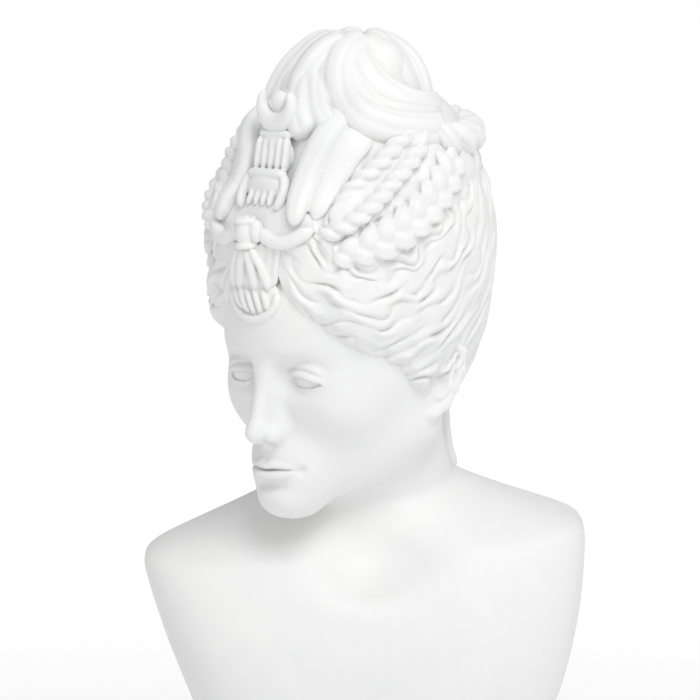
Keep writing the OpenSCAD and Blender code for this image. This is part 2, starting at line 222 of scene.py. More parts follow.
def skin_field(p):
    """Distance-like field of the whole skin at world points, negative inside."""
    q = to_head(p)
    head = head_field(q[:, 0], q[:, 1], q[:, 2])
    body = body_field(p[:, 0], p[:, 1], p[:, 2])
    top = q[:, 2] - 5
    body = smax(body, top, 10)
    return smin(head, body, 12)


def gradient(field, p, h=0.05):
    g = np.empty_like(p)
    for i in range(3):
        s = np.zeros(3)
        s[i] = h
        g[:, i] = (field(p + s) - field(p - s)) / (2 * h)
    return g


def settle(field, p, rounds=3, most=1.5):
    """Moves points onto the field's zero surface, and gives their normals."""
    for _ in range(rounds):
        g = gradient(field, p)
        d = field(p)
        step = d[:, None] * g / np.maximum((g * g).sum(1), 0.05)[:, None]
        size = np.linalg.norm(step, axis=1, keepdims=True)
        p = p - step * np.minimum(1, most / np.maximum(size, 1e-9))
    g = gradient(field, p)
    return p, g / np.maximum(np.linalg.norm(g, axis=1, keepdims=True), 1e-9)


def surface_nets(field, low, high, cell, coarse=4):
    """Quads round the zero surface of field inside a box, found on a coarse grid first."""
    low = np.asarray(low, float)
    n = np.ceil((np.asarray(high, float) - low) / (cell * coarse)).astype(int) * coarse
    step = cell * coarse
    axes = [low[i] + step * np.arange(n[i] // coarse + 1) for i in range(3)]
    gx, gy, gz = np.meshgrid(*axes, indexing="ij")
    rough = field(np.stack([gx.ravel(), gy.ravel(), gz.ravel()], 1)).reshape(gx.shape)
    shape = n + 1
    values = np.repeat(np.repeat(np.repeat(rough, coarse, 0), coarse, 1), coarse, 2)
    values = values[: shape[0], : shape[1], : shape[2]].astype(np.float32)
    near = np.abs(rough) < step * 1.9
    block = np.zeros(np.array(rough.shape) - 1, bool)
    for dx in (0, 1):
        for dy in (0, 1):
            for dz in (0, 1):
                block |= near[dx : dx + block.shape[0], dy : dy + block.shape[1], dz : dz + block.shape[2]]
    fine = np.repeat(np.repeat(np.repeat(block, coarse, 0), coarse, 1), coarse, 2)
    mask = np.zeros(shape, bool)
    mask[:-1, :-1, :-1] |= fine
    mask[1:, 1:, 1:] |= fine
    index = np.argwhere(mask)
    out = np.empty(len(index), np.float32)
    for i in range(0, len(index), 400000):
        out[i : i + 400000] = field(low + cell * index[i : i + 400000].astype(float))
    values[mask] = out
    inside = values < 0
    cells = np.zeros(n, np.uint8)
    for dx in (0, 1):
        for dy in (0, 1):
            for dz in (0, 1):
                cells += inside[dx : dx + n[0], dy : dy + n[1], dz : dz + n[2]]
    active = (cells > 0) & (cells < 8)
    where = np.argwhere(active)
    number = np.full(n, -1, np.int64)
    number[active] = np.arange(len(where))
    total, count = np.zeros((len(where), 3)), np.zeros(len(where))
    corner = lambda o: values[where[:, 0] + o[0], where[:, 1] + o[1], where[:, 2] + o[2]]
    for axis in range(3):
        others = [i for i in range(3) if i != axis]
        for da in (0, 1):
            for db in (0, 1):
                o = np.zeros(3, int)
                o[others[0]], o[others[1]] = da, db
                e = o.copy()
                e[axis] = 1
                va, vb = corner(o), corner(e)
                cut = (va < 0) != (vb < 0)
                t = np.where(cut, va / np.where(cut, va - vb, 1), 0)
                point = np.tile(o.astype(float), (len(where), 1))
                point[:, axis] = t
                total[cut] += point[cut]
                count[cut] += 1
    points = low + cell * (where + total / count[:, None])
    quads = []
    for axis in range(3):
        a, b = [i for i in range(3) if i != axis]
        sl0, sl1 = [slice(1, -1)] * 3, [slice(1, -1)] * 3
        sl0[axis], sl1[axis] = slice(0, n[axis]), slice(1, n[axis] + 1)
        v0, v1 = inside[tuple(sl0)], inside[tuple(sl1)]
        cross = np.argwhere(v0 != v1)
        lead = v0[tuple(cross.T)]
        base = cross + 1
        base[:, axis] -= 1
        da, db = np.zeros(3, int), np.zeros(3, int)
        da[a], db[b] = 1, 1
        get = lambda c: number[c[:, 0], c[:, 1], c[:, 2]]
        q = np.stack([get(base - da - db), get(base - db), get(base), get(base - da)], 1)
        flip = lead if axis != 1 else ~lead
        q[~flip] = q[~flip][:, ::-1]
        quads.append(q)
    quads = np.vstack(quads)
    return points, quads[(quads >= 0).all(1)]


def mesh_object(name, points, faces):
    """A Blender mesh from millimetre points. Faces are an array of quads, or a list."""
    mesh = bpy.data.meshes.new(name)
    faces = faces.tolist() if isinstance(faces, np.ndarray) else faces
    mesh.from_pydata((np.asarray(points) / 1000).tolist(), [], faces)
    mesh.polygons.foreach_set("use_smooth", np.ones(len(mesh.polygons), bool))
    mesh.update()
    obj = bpy.data.objects.new(name, mesh)
    bpy.context.scene.collection.objects.link(obj)
    return obj


# ---------------------------------------------------------------- hair
def hair_radius(angle, z):
    """How far the combed hair's envelope is from the axis. Angle 0 is the middle of the face."""
    w, f, b = (np.interp(z, HAIR[:, 0], HAIR[:, i]) for i in (1, 2, 3))
    m, dy = (f + b) / 2, (b - f) / 2
    sx, sy, oy = np.sin(angle), -np.cos(angle), AXIS_Y - m
    a = (sx / w) ** 2 + (sy / dy) ** 2
    h = sy * oy / dy**2
    c = (oy / dy) ** 2 - 1
    return (-h + np.sqrt(np.maximum(h * h - a * c, 0))) / a


def skin_radius(angle, z):
    """How far the skin is from the same axis, by halving."""
    near, far = np.full(angle.shape, 4.0), np.full(angle.shape, 75.0)
    for _ in range(11):
        mid = (near + far) / 2
        d = head_field(mid * np.sin(angle), AXIS_Y - mid * np.cos(angle), z)
        near, far = np.where(d < 0, mid, near), np.where(d < 0, far, mid)
    return (near + far) / 2


def on_hair(degrees, z, lift=0.0):
    a = np.radians(degrees)
    return round_axis(hair_radius(a, z) + lift, a, z)


def noise1(x, seed):
    """Smooth noise along a line, from -1 to 1."""
    x = np.asarray(x, float)
    waves = np.sin(x * 1.7 + seed) + np.sin(x * 2.9 + seed * 2.3) * 0.7 + np.sin(x * 4.3 + seed * 5.1) * 0.4
    return waves / 2.1


def hashed(i, seed):
    return np.mod(np.sin(i * 12.9898 + seed * 78.233) * 43758.5453, 1.0)


def hair_lines(u, v, seed, strands=3, deep=1.0):
    """The relief of combed locks: u counts locks across the comb's way and v is millimetres along it. The groove
    between two locks comes and goes along its length."""
    u = u + 0.26 * noise1(u * 1.3, seed) + 0.22 * noise1(v / 13 + u * 0.7, seed + 3)
    i = np.floor(u)
    t = u - i
    groove = lambda k: np.clip(0.6 + 0.75 * noise1(v / 8 + 9 * hashed(k, seed + 6), seed + 1), 0.04, 1)
    rounded = 1 - groove(i) * (1 - t) ** 2.6 - groove(i + 1) * t**2.6
    middle = np.sin(math.pi * t) ** 1.6
    size = 1.0 * (hashed(i, seed) - 0.4) + 0.42 * np.sin(v / 5.6 + 6.28 * hashed(i, seed + 4))
    fine = np.sqrt(np.abs(np.sin(math.pi * (t * strands + 0.3 * noise1(v / 9 + i, seed + 9)))))
    return deep * (2.7 * rounded + 1.5 * size * middle + 0.34 * fine * middle)


def weave_grid(grid):
    """Quads over a grid of rows and columns of points, wrapped round in the columns."""
    rows, cols = grid.shape[:2]
    i, j = np.meshgrid(np.arange(rows - 1), np.arange(cols), indexing="ij")
    k = (j + 1) % cols
    return np.stack([i * cols + j, i * cols + k, (i + 1) * cols + k, (i + 1) * cols + j], -1).reshape(-1, 4)


def closed_grid(grid):
    """The same as a list, with a face over the first row and one over the last."""
    rows, cols = grid.shape[:2]
    return weave_grid(grid).tolist() + [list(range(cols))[::-1], [(rows - 1) * cols + i for i in range(cols)]]


# degrees from the middle of the face, and the height of the hair's lower edge there
HAIRLINE = np.array([
    [0, 46], [8, 41], [14, 30], [23, 20], [34, 11], [46, 2.5], [57, -3.5], [66, -9], [73, -15], [79, -21],
    [83, -21], [89, -17], [96, -19], [103, -25], [110, -29], [120, -32], [134, -34], [150, -37], [180, -38],
])


def smooth_line(table, x, steps=12):
    rows = smooth_rows(table, steps)
    return np.interp(x, rows[:, 0], rows[:, 1])


def round_axis(radius, a, z):
    """Points at a radius from the hair's axis."""
    return np.stack([radius * np.sin(a), AXIS_Y - radius * np.cos(a), z], -1)


def cap_points(cols, rows):
    """Rows of the hair cap: three on the skull's side, then the outside from the hairline up."""
    degrees = np.linspace(-180, 180, cols, endpoint=False)
    side = np.abs(degrees)
    foot = smooth_line(HAIRLINE, side) + 0.8 * noise1(degrees / 3.1, 2)
    t = np.linspace(0, 1, rows)[:, None]
    z = foot[None] + (CAP_TOP - foot[None]) * t
    a = np.radians(np.broadcast_to(degrees[None], z.shape))
    outer = hair_radius(a, z)
    # the skin's radius, from a coarse table
    ca = np.radians(np.linspace(-180, 180, 121))
    cz = np.linspace(-46, CAP_TOP, 60)
    gz, ga = np.meshgrid(cz, ca, indexing="ij")
    table = skin_radius(ga.ravel(), np.minimum(gz.ravel(), 66)).reshape(gz.shape)
    fi, fj = np.interp(z, cz, np.arange(60)), np.interp(a, ca, np.arange(121))
    i0, j0 = np.minimum(fi.astype(int), 58), np.minimum(fj.astype(int), 119)
    di, dj = fi - i0, fj - j0
    skin = (table[i0, j0] * (1 - di) * (1 - dj) + table[i0 + 1, j0] * di * (1 - dj)
            + table[i0, j0 + 1] * (1 - di) * dj + table[i0 + 1, j0 + 1] * di * dj)
    # locks sweep back from the temples and then up, in arcs round a point above each temple
    away = 61 * (np.abs(a) - math.radians(58))
    drop = 84 - z
    reach = np.hypot(away, drop)
    way = 66 * np.arctan2(away, drop)
    sway = 1.5 * noise1(reach / 8, 8)
    sway = 2.6 * np.sin(way / 5.2 + sway + 0.9 * np.sin(reach / 15) + np.where(a < 0, 1.1, 0))
    sway = sway + 2.2 * noise1(way / 10 + reach / 27, 5)
    lock = (reach + sway * np.clip((reach - 18) / 16, 0, 1)) / 6.8 + np.where(a < 0, 40, 0)
    rise = z - foot[None]
    edge = np.clip(rise / 11.0, 0, 1)
    body = edge * edge * (3 - 2 * edge)
    relief = hair_lines(lock, way, 11, 4, 1.1)
    degrees_out = np.degrees(np.abs(a))
    calm = np.clip((degrees_out - 14) / 10, 0.06, 1) * np.clip((74 - z) / 7, 0.1, 1)
    calm = calm * (0.74 + 0.4 * np.exp(-(((degrees_out - 76) / 22) ** 2)) * np.clip((14 - z) / 14, 0, 1))
    puff = 4.0 * np.exp(-(((degrees_out - 45) / 15) ** 2) - ((z - 26) / 18) ** 2)
    thick = outer - skin - 1.0 + puff
    radius = skin - 1.3 + body * np.maximum(thick + 1.3, 1.0)
    radius = radius + (relief - 1.6) * np.clip(rise / 5.0, 0, 1) * calm
    radius = np.where(t == 0, skin - 2.5, radius)
    inner_rows = []
    for share in (1.0, 0.5, 0.0):
        row = int(share * (rows - 1))
        inner = np.minimum(skin[row], 70) - 4.0 - 3.0 * share
        inner_rows.append(round_axis(inner, a[0], z[row] - 1.0 * share))
    return np.concatenate([np.array(inner_rows), round_axis(radius, a, z)], 0)


def crown_points(cols, rows):
    """Rows of the raised hair above the cap."""
    degrees = np.linspace(-180, 180, cols, endpoint=False)
    t = np.linspace(0, 1, rows)[:, None]
    z = CROWN_FOOT + (CROWN_TOP - CROWN_FOOT) * np.sin(t * math.pi / 2) ** 0.9
    a = np.radians(np.broadcast_to(degrees[None], (rows, cols)))
    z = np.broadcast_to(z, a.shape)
    radius = hair_radius(a, z)
    side = np.degrees(np.abs(a))
    lean = np.degrees(a) + (z - CROWN_FOOT) * np.sign(a) * -0.35
    relief = hair_lines(lean / 13.0, z * 1.2, 23, strands=3)
    calm = np.clip((side - 30) / 20, 0, 1) * np.clip((radius - 3) / 12, 0, 1)
    low = np.clip((78 - z) / 8, 0, 1)
    radius = radius - 0.6 - 0.7 * low + (relief - 1.0) * calm * 0.7 * (1 - low)
    return round_axis(radius, a, z)


def frames_on(path, outward):
    """Along, side and out directions at each point of a path."""
    along = np.gradient(path, axis=0)
    along /= np.linalg.norm(along, axis=1, keepdims=True)
    out = outward - (outward * along).sum(1, keepdims=True) * along
    out /= np.maximum(np.linalg.norm(out, axis=1, keepdims=True), 1e-9)
    return along, np.cross(along, out), out


def lengths_along(path):
    return np.concatenate([[0], np.cumsum(np.linalg.norm(np.diff(path, axis=0), axis=1))])


def resample(points, step):
    points = np.asarray(points, float)
    lengths = lengths_along(points)
    n = max(int(lengths[-1] / step), 3)
    at = np.linspace(0, lengths[-1], n + 1)
    return np.stack([np.interp(at, lengths, points[:, i]) for i in range(points.shape[1])], 1)


def hair_path(stations, step=0.8, lift=0.0):
    """A path over the hair through (degrees, height) stations, and which way is outward along it."""
    s = smooth_rows(stations, 24)
    p = resample(on_hair(s[:, 0], s[:, 1], lift), step)
    out = np.stack([p[:, 0], p[:, 1] - 8, 0.35 * (p[:, 2] - 30)], 1)
    return p, out / np.linalg.norm(out, axis=1, keepdims=True)


def tube(path, outward, wide, deep, ridges=0, groove=0.0, around=28, ends=True, twist=0.0):
    """A closed tube of oval section. ridges and groove carve lines along it, as in combed hair."""
    n = len(path)
    wide, deep = np.broadcast_to(wide, n).astype(float), np.broadcast_to(deep, n).astype(float)
    if ends:
        t = np.linspace(0, 1, n)
        cap = np.sqrt(np.clip(1 - np.clip(1 - np.minimum(t, 1 - t) * n / 7, 0, 1) ** 2, 0.02, 1))
        wide, deep = wide * cap, deep * cap
    along, side, out = frames_on(path, outward)
    b = np.linspace(0, 2 * math.pi, around, endpoint=False)
    turn = twist * np.linspace(0, 1, n)[:, None]
    cut = 1 - groove * (0.5 + 0.5 * np.cos(ridges * (b[None] + turn))) ** 3 if ridges else np.ones((n, around))
    x = np.cos(b)[None] * wide[:, None] * cut
    y = np.sin(b)[None] * deep[:, None] * cut
    p = path[:, None] + side[:, None] * x[..., None] + out[:, None] * y[..., None]
    return p.reshape(-1, 3), closed_grid(p)


def joined(parts):
    points, faces, n = [], [], 0
    for p, f in parts:
        points.append(p)
        faces.extend([[i + n for i in face] for face in f])
        n += len(p)
    return np.vstack(points), faces


def plait_parts(path, out, half_w, strand, pitch, flat=0.72, count=3, depth=2.4, lines=5):
    """Strands that weave across a path, as in a flat plait."""
    along, side, up = frames_on(path, out)
    s = lengths_along(path)
    parts = []
    for k in range(count):
        phase = 2 * math.pi * (s / pitch + k / count)
        c = path + side * (half_w * np.sin(phase))[:, None] + up * (depth * np.sin(2 * phase))[:, None]
        parts.append(tube(c, up, strand, strand * flat, ridges=lines, groove=0.13))
    return parts


def rope_parts(path, out, wind, strand, pitch, count=2, lines=5):
    """Strands twisted round a path, thinner at its ends."""
    along, side, up = frames_on(path, out)
    s = lengths_along(path)
    t = s / s[-1]
    thin = np.clip(np.minimum(t, 1 - t) * 9 + 0.45, 0, 1)
    parts = []
    for k in range(count):
        phase = 2 * math.pi * (s / pitch + k / count)
        c = path + (side * np.sin(phase)[:, None] + up * np.cos(phase)[:, None]) * (wind * thin)[:, None]
        parts.append(tube(c, up, strand * thin, strand * thin, ridges=lines, groove=0.12, twist=6.0))
    return parts


def ball_of(c, r, n=24):
    u = np.linspace(0, math.pi, n)[1:-1]
    v = np.linspace(0, 2 * math.pi, 2 * n, endpoint=False)
    flat = np.outer(np.cos(u), np.ones(len(v)))
    g = np.stack([np.outer(np.sin(u), np.cos(v)), np.outer(np.sin(u), np.sin(v)), flat], -1)
    g = (g * np.asarray(r) + np.asarray(c))[::-1]
    return g.reshape(-1, 3), closed_grid(g)


def carved(name, parts, voxel=0.5, soften=2, strength=0.5):
    """One carved piece out of tubes and balls that run into each other: fused, then eased like worked stone."""
    points, faces = joined(parts)
    obj = mesh_object(name, points, faces)
    remesh = obj.modifiers.new("fuse", "REMESH")
    remesh.mode = "VOXEL"
    remesh.voxel_size = voxel / 1000
    remesh.use_smooth_shade = True
    ease = obj.modifiers.new("ease", "SMOOTH")
    ease.factor, ease.iterations = strength, soften
    graph = bpy.context.evaluated_depsgraph_get()
    mesh = bpy.data.meshes.new_from_object(obj.evaluated_get(graph))
    old = obj.data
    obj.modifiers.clear()
    obj.data = mesh
    bpy.data.meshes.remove(old)
    mesh.name = name
    mesh.polygons.foreach_set("use_smooth", np.ones(len(mesh.polygons), bool))
    return obj


def pose_on_head(obj):
    """Moves a piece drawn in the head's frame to its place."""
    m = Matrix.Translation(Vector(HEAD_CENTRE / 1000)) @ HEAD_TURN.to_4x4()
    obj.data.transform(m)
    obj.data.update()
    return obj


def mirrored(parts):
    out = []
    for p, f in parts:
        q = p.copy()
        q[:, 0] *= -1
        out.append((q, [list(face)[::-1] for face in f]))
    return out


# ---------------------------------------------------------------- the scene
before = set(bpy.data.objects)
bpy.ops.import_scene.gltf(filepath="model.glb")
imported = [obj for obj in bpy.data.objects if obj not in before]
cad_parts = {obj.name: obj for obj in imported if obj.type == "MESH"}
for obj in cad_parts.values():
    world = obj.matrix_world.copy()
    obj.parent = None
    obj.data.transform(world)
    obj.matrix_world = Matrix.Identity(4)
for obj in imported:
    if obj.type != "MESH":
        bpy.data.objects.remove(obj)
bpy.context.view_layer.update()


def clip_at_seam(obj):
    """Cuts the head off at the neck joint and closes it there with a flat face of its own."""
    normal = Vector((-SEAM_X, -SEAM_Y, 1)).normalized()
    bm = bmesh.new()
    bm.from_mesh(obj.data)
    geom = bm.verts[:] + bm.edges[:] + bm.faces[:]
    bmesh.ops.bisect_plane(bm, geom=geom, dist=1e-7, plane_co=(0, 0, SEAM_Z / 1000), plane_no=normal,
                           clear_inner=True)
    keep_biggest(bm)
    rim = [e for e in bm.edges if e.is_boundary and
           abs((e.verts[0].co - Vector((0, 0, SEAM_Z / 1000))).dot(normal)) < 1e-5]
    for face in bmesh.ops.holes_fill(bm, edges=rim, sides=0)["faces"]:
        face.smooth = False
    bm.to_mesh(obj.data)
    bm.free()


def keep_biggest(bm):
    seen, groups = set(), []
    for v in bm.verts:
        if v in seen:
            continue
        stack, group = [v], []
        seen.add(v)
        while stack:
            u = stack.pop()
            group.append(u)
            for e in u.link_edges:
                w = e.other_vert(u)
                if w not in seen:
                    seen.add(w)
                    stack.append(w)
        groups.append(group)
    for group in sorted(groups, key=len)[:-1]:
        bmesh.ops.delete(bm, geom=group, context="VERTS")


def shade_from_field(obj):
    """Shading normals straight from the skin field, so that head and torso meet without a line."""
    mesh = obj.data
    co = np.zeros(len(mesh.vertices) * 3)
    mesh.vertices.foreach_get("co", co)
    g = gradient(skin_field, co.reshape(-1, 3) * 1000, 0.15)
    g /= np.maximum(np.linalg.norm(g, axis=1, keepdims=True), 1e-9)
    corner = np.zeros(len(mesh.loops), int)
    mesh.loops.foreach_get("vertex_index", corner)
    normals = g[corner]
    for face in mesh.polygons:
        if not face.use_smooth:
            normals[face.loop_start : face.loop_start + face.loop_total] = face.normal
    mesh.normals_split_custom_set(normals.tolist())


def build_skin():
    low, high = (-52, -76, -96), (52, 63, 72)
    points, quads = surface_nets(lambda p: skin_field(to_world(p)), low, high, SKIN_CELL)
    world, _ = settle(skin_field, to_world(points), 2)
    head = mesh_object("head_carved", world, quads)
    clip_at_seam(head)
    ring = 220
    rows = smooth_rows(TORSO_ROWS, 10)
    rows = rows
    a = np.linspace(0, 2 * math.pi, ring, endpoint=False)
    grid = []
    for z, w, f, b, e, sx, sy, cx in rows:
        x = cx + w * np.sign(np.cos(a)) * np.abs(np.cos(a)) ** (2 / e)
        y = (f + b) / 2 + (b - f) / 2 * np.sign(np.sin(a)) * np.abs(np.sin(a)) ** (2 / e)
        grid.append(np.stack([x, y, z + sx * x + sy * y], 1))
    grid = np.array(grid)
    shape = grid.shape
    flat, _ = settle(skin_field, grid.reshape(-1, 3), 3, 1.0)
    grid = flat.reshape(shape)
    grid[0, :, 2] = FOOT_Z
    top = grid[-1]
    for _ in range(3):
        top[:, 2] = SEAM_Z + SEAM_X * top[:, 0] + SEAM_Y * top[:, 1]
        g = gradient(skin_field, top)
        g[:, 2] = 0
        top -= skin_field(top)[:, None] * g / np.maximum((g * g).sum(1), 0.05)[:, None]
    top[:, 2] = SEAM_Z + SEAM_X * top[:, 0] + SEAM_Y * top[:, 1]
    torso = mesh_object("torso_carved", grid.reshape(-1, 3), closed_grid(grid))
    for face in torso.data.polygons[-2:]:
        face.use_smooth = False
    return head, torso


made = {}

head, torso = build_skin()
shade_from_field(head)
shade_from_field(torso)
made["head"], made["torso"] = head, torso

cap = cap_points(int(560 * DETAIL), int(150 * DETAIL))
made["hair_cap"] = pose_on_head(mesh_object("hair_cap_carved", cap.reshape(-1, 3), weave_grid(cap)))
crown = crown_points(int(440 * DETAIL), int(120 * DETAIL))
made["crown_block"] = pose_on_head(mesh_object("crown_block_carved", crown.reshape(-1, 3), closed_grid(crown)))


def braid(side):
    path, out = hair_path([[37, 50], [44, 50], [60, 54], [79, 63], [96, 74.5], [107, 85]], lift=-1.0)
    grow = np.clip(np.linspace(0.45, 2.6, len(path)), 0, 1)
    parts = plait_parts(path, out, 5.2 * grow, 4.4 * (0.6 + 0.4 * grow), 27, flat=0.66)
    return parts if side > 0 else mirrored(parts)


def ropes(side):
    course = [[29, 59.5], [35, 59.5], [45, 63], [57, 70.5], [70, 79.5], [82, 87.5], [89, 93], [84, 96.5],
              [72, 91], [60, 84], [50, 78], [42, 71], [37, 66.5]]
    path, out = hair_path(course, lift=2.4)
    start = np.exp(-((np.arange(len(path)) / 22) ** 2))
    path = path - out * (3.4 * (start + start[::-1]))[:, None]  # both ends lie lower, under the band
    parts = rope_parts(path, out, 1.9, 2.7, 14)
    inner, iout = hair_path([[38, 63], [52, 74], [66, 83], [82, 91]], lift=0.6)
    parts.append(tube(inner, iout, 6.0, 2.4, ridges=3, groove=0.1))
    return parts if side > 0 else mirrored(parts)


def sunk(path, out, depth):
    """The path with its last third led down into the crown."""
    t = np.linspace(0, 1, len(path))
    return path - out * (depth * np.clip((t - 0.62) / 0.38, 0, 1) ** 2)[:, None]


def front_roll(side):
    path, out = hair_path([[22, 63], [22.5, 72], [24, 81], [29, 91], [37, 100], [47, 107], [60, 113]], lift=2.0)
    path = sunk(path, out, 9)
    t = np.linspace(0, 1, len(path))
    wide = 3.0 + 2.6 * np.clip(t * 5, 0, 1) ** 0.7 + 0.6 * np.sin(math.pi * t)
    leaf = tube(path, out, wide, 0.8 * wide, ridges=4, groove=0.08, around=44)
    lip, lout = hair_path([[30, 65], [33, 72], [38.5, 81], [46, 90], [56, 97.5], [70, 105]], lift=0.2)
    lip = sunk(lip, lout, 7)
    t = np.linspace(0, 1, len(lip))
    swell = np.sin(math.pi * np.clip(t * 0.75, 0, 1)) ** 0.6
    fold = tube(lip, lout, 2.0 + 6.2 * swell, 1.4 + 2.0 * swell, ridges=5, groove=0.10, around=52)
    return [leaf, fold] if side > 0 else mirrored([leaf, fold])


for pair, maker in (("side_braid", braid), ("rope_loop", ropes), ("front_roll", front_roll)):
    for name, side in (("left", 1), ("right", -1)):
        node = f"{pair}_{name}"
        made[node] = pose_on_head(carved(node + "_carved", maker(side), VOXEL, 6))

path, out = hair_path([[94, 98], [110, 90.5], [130, 88], [155, 89], [180, 90], [205, 89], [230, 88], [250, 90.5],
                       [266, 98]], lift=-1.0)
made["back_coil"] = pose_on_head(carved("back_coil_carved", rope_parts(path, out, 3.4, 5.0, 25, lines=6), VOXEL))

# The topknot is laid out from the head's left front: LOOK points that way, RIGHT to the right across it.
LOOK = np.array([0.682, -0.731])
RIGHT = np.array([0.731, 0.682])
KNOT_CENTRE = np.array([0.0, 16.0])


def knot_path(points):
    """A path through points given as (across, height, depth towards LOOK), and which way is outward along it."""
    p = resample(smooth_rows(points, 14), 0.8)
    xy = KNOT_CENTRE[None] + p[:, :1] * RIGHT + p[:, 2:3] * LOOK
    pos = np.column_stack([xy, p[:, 1]])
    out = pos - np.array([*KNOT_CENTRE, 106.0])
    return pos, out / np.linalg.norm(out, axis=1, keepdims=True)


def facing(points):
    """Turns points (across, height, lift over the crown's envelope) into (across, height, depth)."""
    out = []
    for across, z, lift in points:
        w, f, b = (np.interp(z, HAIR[:, 0], HAIR[:, i]) for i in (1, 2, 3))
        m, dy = (f + b) / 2, (b - f) / 2
        x0, y0 = across * RIGHT[0], KNOT_CENTRE[1] + across * RIGHT[1] - m
        a = (LOOK[0] / w) ** 2 + (LOOK[1] / dy) ** 2
        h = x0 * LOOK[0] / w**2 + y0 * LOOK[1] / dy**2
        c = (x0 / w) ** 2 + (y0 / dy) ** 2 - 1
        out.append((across, z, (-h + math.sqrt(max(h * h - a * c, 0))) / a + lift))
    return out


def beside(across, z, depth):
    return (*(KNOT_CENTRE + across * RIGHT + depth * LOOK), z)


def topknot():
    parts = [ball_of((0, 15, 109), (27, 29, 24), 40), ball_of((2, 14, 120), (20, 19, 15), 40),
             ball_of(beside(-20, 111, 5), (14, 14, 16), 30)]
    # fine strands along the front edge
    for i in range(3):
        d = 3.6 * i
        strand = [(-39.5 + d, 102, 3 + 1.3 * d), (-37 + d, 112, 3 + 1.3 * d),
                  (-30.5 + d * 0.9, 123 - d * 0.3, 2 + 1.2 * d), (-22.5 + d * 0.8, 130.5 - d * 0.2, 1 + d),
                  (-14.5 + d * 0.7, 135 - 0.1 * d, 0.8 * d), (-6 + d * 0.6, 136, 0.5 * d - 2)]
        parts.append(tube(*knot_path(strand), 2.7, 3.4, ridges=3, groove=0.10))
    # a big roll, the roll bent like an S, and the locks that sweep back beside it
    roll = [(-22, 98, 1.0), (-24.5, 108, 2.5), (-22.5, 118, 4), (-17, 126.5, 5), (-10, 132, 4), (-1, 134.5, 1)]
    parts.append(tube(*knot_path(facing(roll)), 7.4, 6.2, ridges=5, groove=0.11, around=60, twist=0.5))
    s_roll = [(5, 134.5, -2), (-2.5, 131, 1.5), (-6.5, 122.5, 2.5), (-5, 113, 2.5), (2, 105, 2.5), (13, 100, 2),
              (26, 96.5, 1.5), (38, 94.5, 0.5)]
    parts.append(tube(*knot_path(facing(s_roll)), 8.8, 5.6, ridges=6, groove=0.11, around=64, twist=0.5))
    for wide, sweep in (
        (8.6, [(1, 131, -1), (4, 123, 2.5), (11, 114.5, 3.5), (21, 107.5, 3), (30, 103.5, 0), (37, 102, -6)]),
        (6.5, [(-2, 127, 0), (-0.5, 118, 2), (5, 110.5, 2.5), (15, 105, 2.5), (27, 101, 1), (38, 98, -4)]),
        (6.0, [(-14, 130, 0), (-16.5, 119, 2), (-15.5, 108, 2), (-9, 100, 1)]),
    ):
        path, out = knot_path(facing(sweep))
        ends = np.clip(np.linspace(1, 0, len(path)) * 4.5 + 0.4, 0, 1)
        parts.append(tube(path, out, wide * ends, 5.2 * ends, ridges=5, groove=0.11, around=60, twist=0.4))
    # the double lobe
    parts.append(ball_of(beside(12, 121, 9), (12, 12, 13.5), 36))
    lobe = [(8, 133, -4), (13.5, 131, 2), (18.5, 124.5, 7), (22.5, 115.5, 11), (25, 106, 13)]
    parts.append(tube(*knot_path(lobe), 6.2, 5.8, ridges=4, groove=0.10, around=48))
    lobe = [(5, 133, 4), (10.5, 130, 10), (14.5, 123, 15), (16.5, 115, 17.5), (20, 108, 18)]
    parts.append(tube(*knot_path(lobe), 6.4, 5.6, ridges=4, groove=0.10, around=48))
    # rolls over the far side
    for turn, lean in ((118, 1), (160, -1), (202, 1), (246, -1), (286, 1)):
        a = math.radians(turn)
        pts = []
        for t in np.linspace(0, 1, 8):
            r = 3.5 + 26.5 * math.cos(t * 1.5)
            z = 100 + 33 * math.sin(t * 1.5)
            w = lean * 8 * math.sin(t * 3.1)
            x, y = r * math.sin(a) + w * math.cos(a), -r * math.cos(a) + w * math.sin(a)
            pts.append((x * RIGHT[0] + y * RIGHT[1], z, x * LOOK[0] + y * LOOK[1]))
        parts.append(tube(*knot_path(pts), 7.6, 6.0, ridges=5, groove=0.11, around=60))
    # the lobe that the crescent clasps
    parts.append(ball_of((0, -18, 107.5), (11, 13.5, 12), 36))
    return parts


made["topknot_rolls"] = pose_on_head(carved("topknot_rolls_carved", topknot(), 1.2 * VOXEL))


def face_on(path):
    return np.tile([0, -1.0, 0.25], (len(path), 1))


def bar(points, wide, deep, **more):
    path = resample(smooth_rows(points, 10), 0.6)
    return tube(path, face_on(path), wide, deep, **more)


def comb():
    parts = []
    for i in range(5):
        x = (i - 2) * 4.1
        parts.append(bar([(x, -40.8, 84), (x, -38.4, 92), (x * 0.95, -36.6, 99)], 1.75, 2.3, around=20))
    for z, y, r, w in ((83.5, -43.4, 3.0, 11.0), (99.8, -35.6, 2.4, 10.0)):
        across = [(-w, y + 1.2, z), (-w / 2, y, z), (w / 2, y, z), (w, y + 1.2, z)]
        parts.append(bar(across, 0.8 * r, r, around=24))
    for i in range(4):
        x = (i - 1.5) * 3.9
        parts.append(bar([(x * 1.1, -50.4, 70.5), (x, -47.2, 75), (x, -44.4, 80)], 1.6, 1.9, around=20))
    for side in (-1, 1):
        parts.append(bar([(side * 9, -43, 84), (side * 11.5, -44.4, 80), (side * 12.2, -47.2, 75),
                          (side * 10.5, -50.6, 69)], 2.1, 2.4))
    parts.append(ball_of((0, -36.2, 91), (10.5, 3.4, 9.5), 26))
    parts.append(ball_of((0, -44.5, 77), (11, 3.6, 7.0), 26))
    return parts


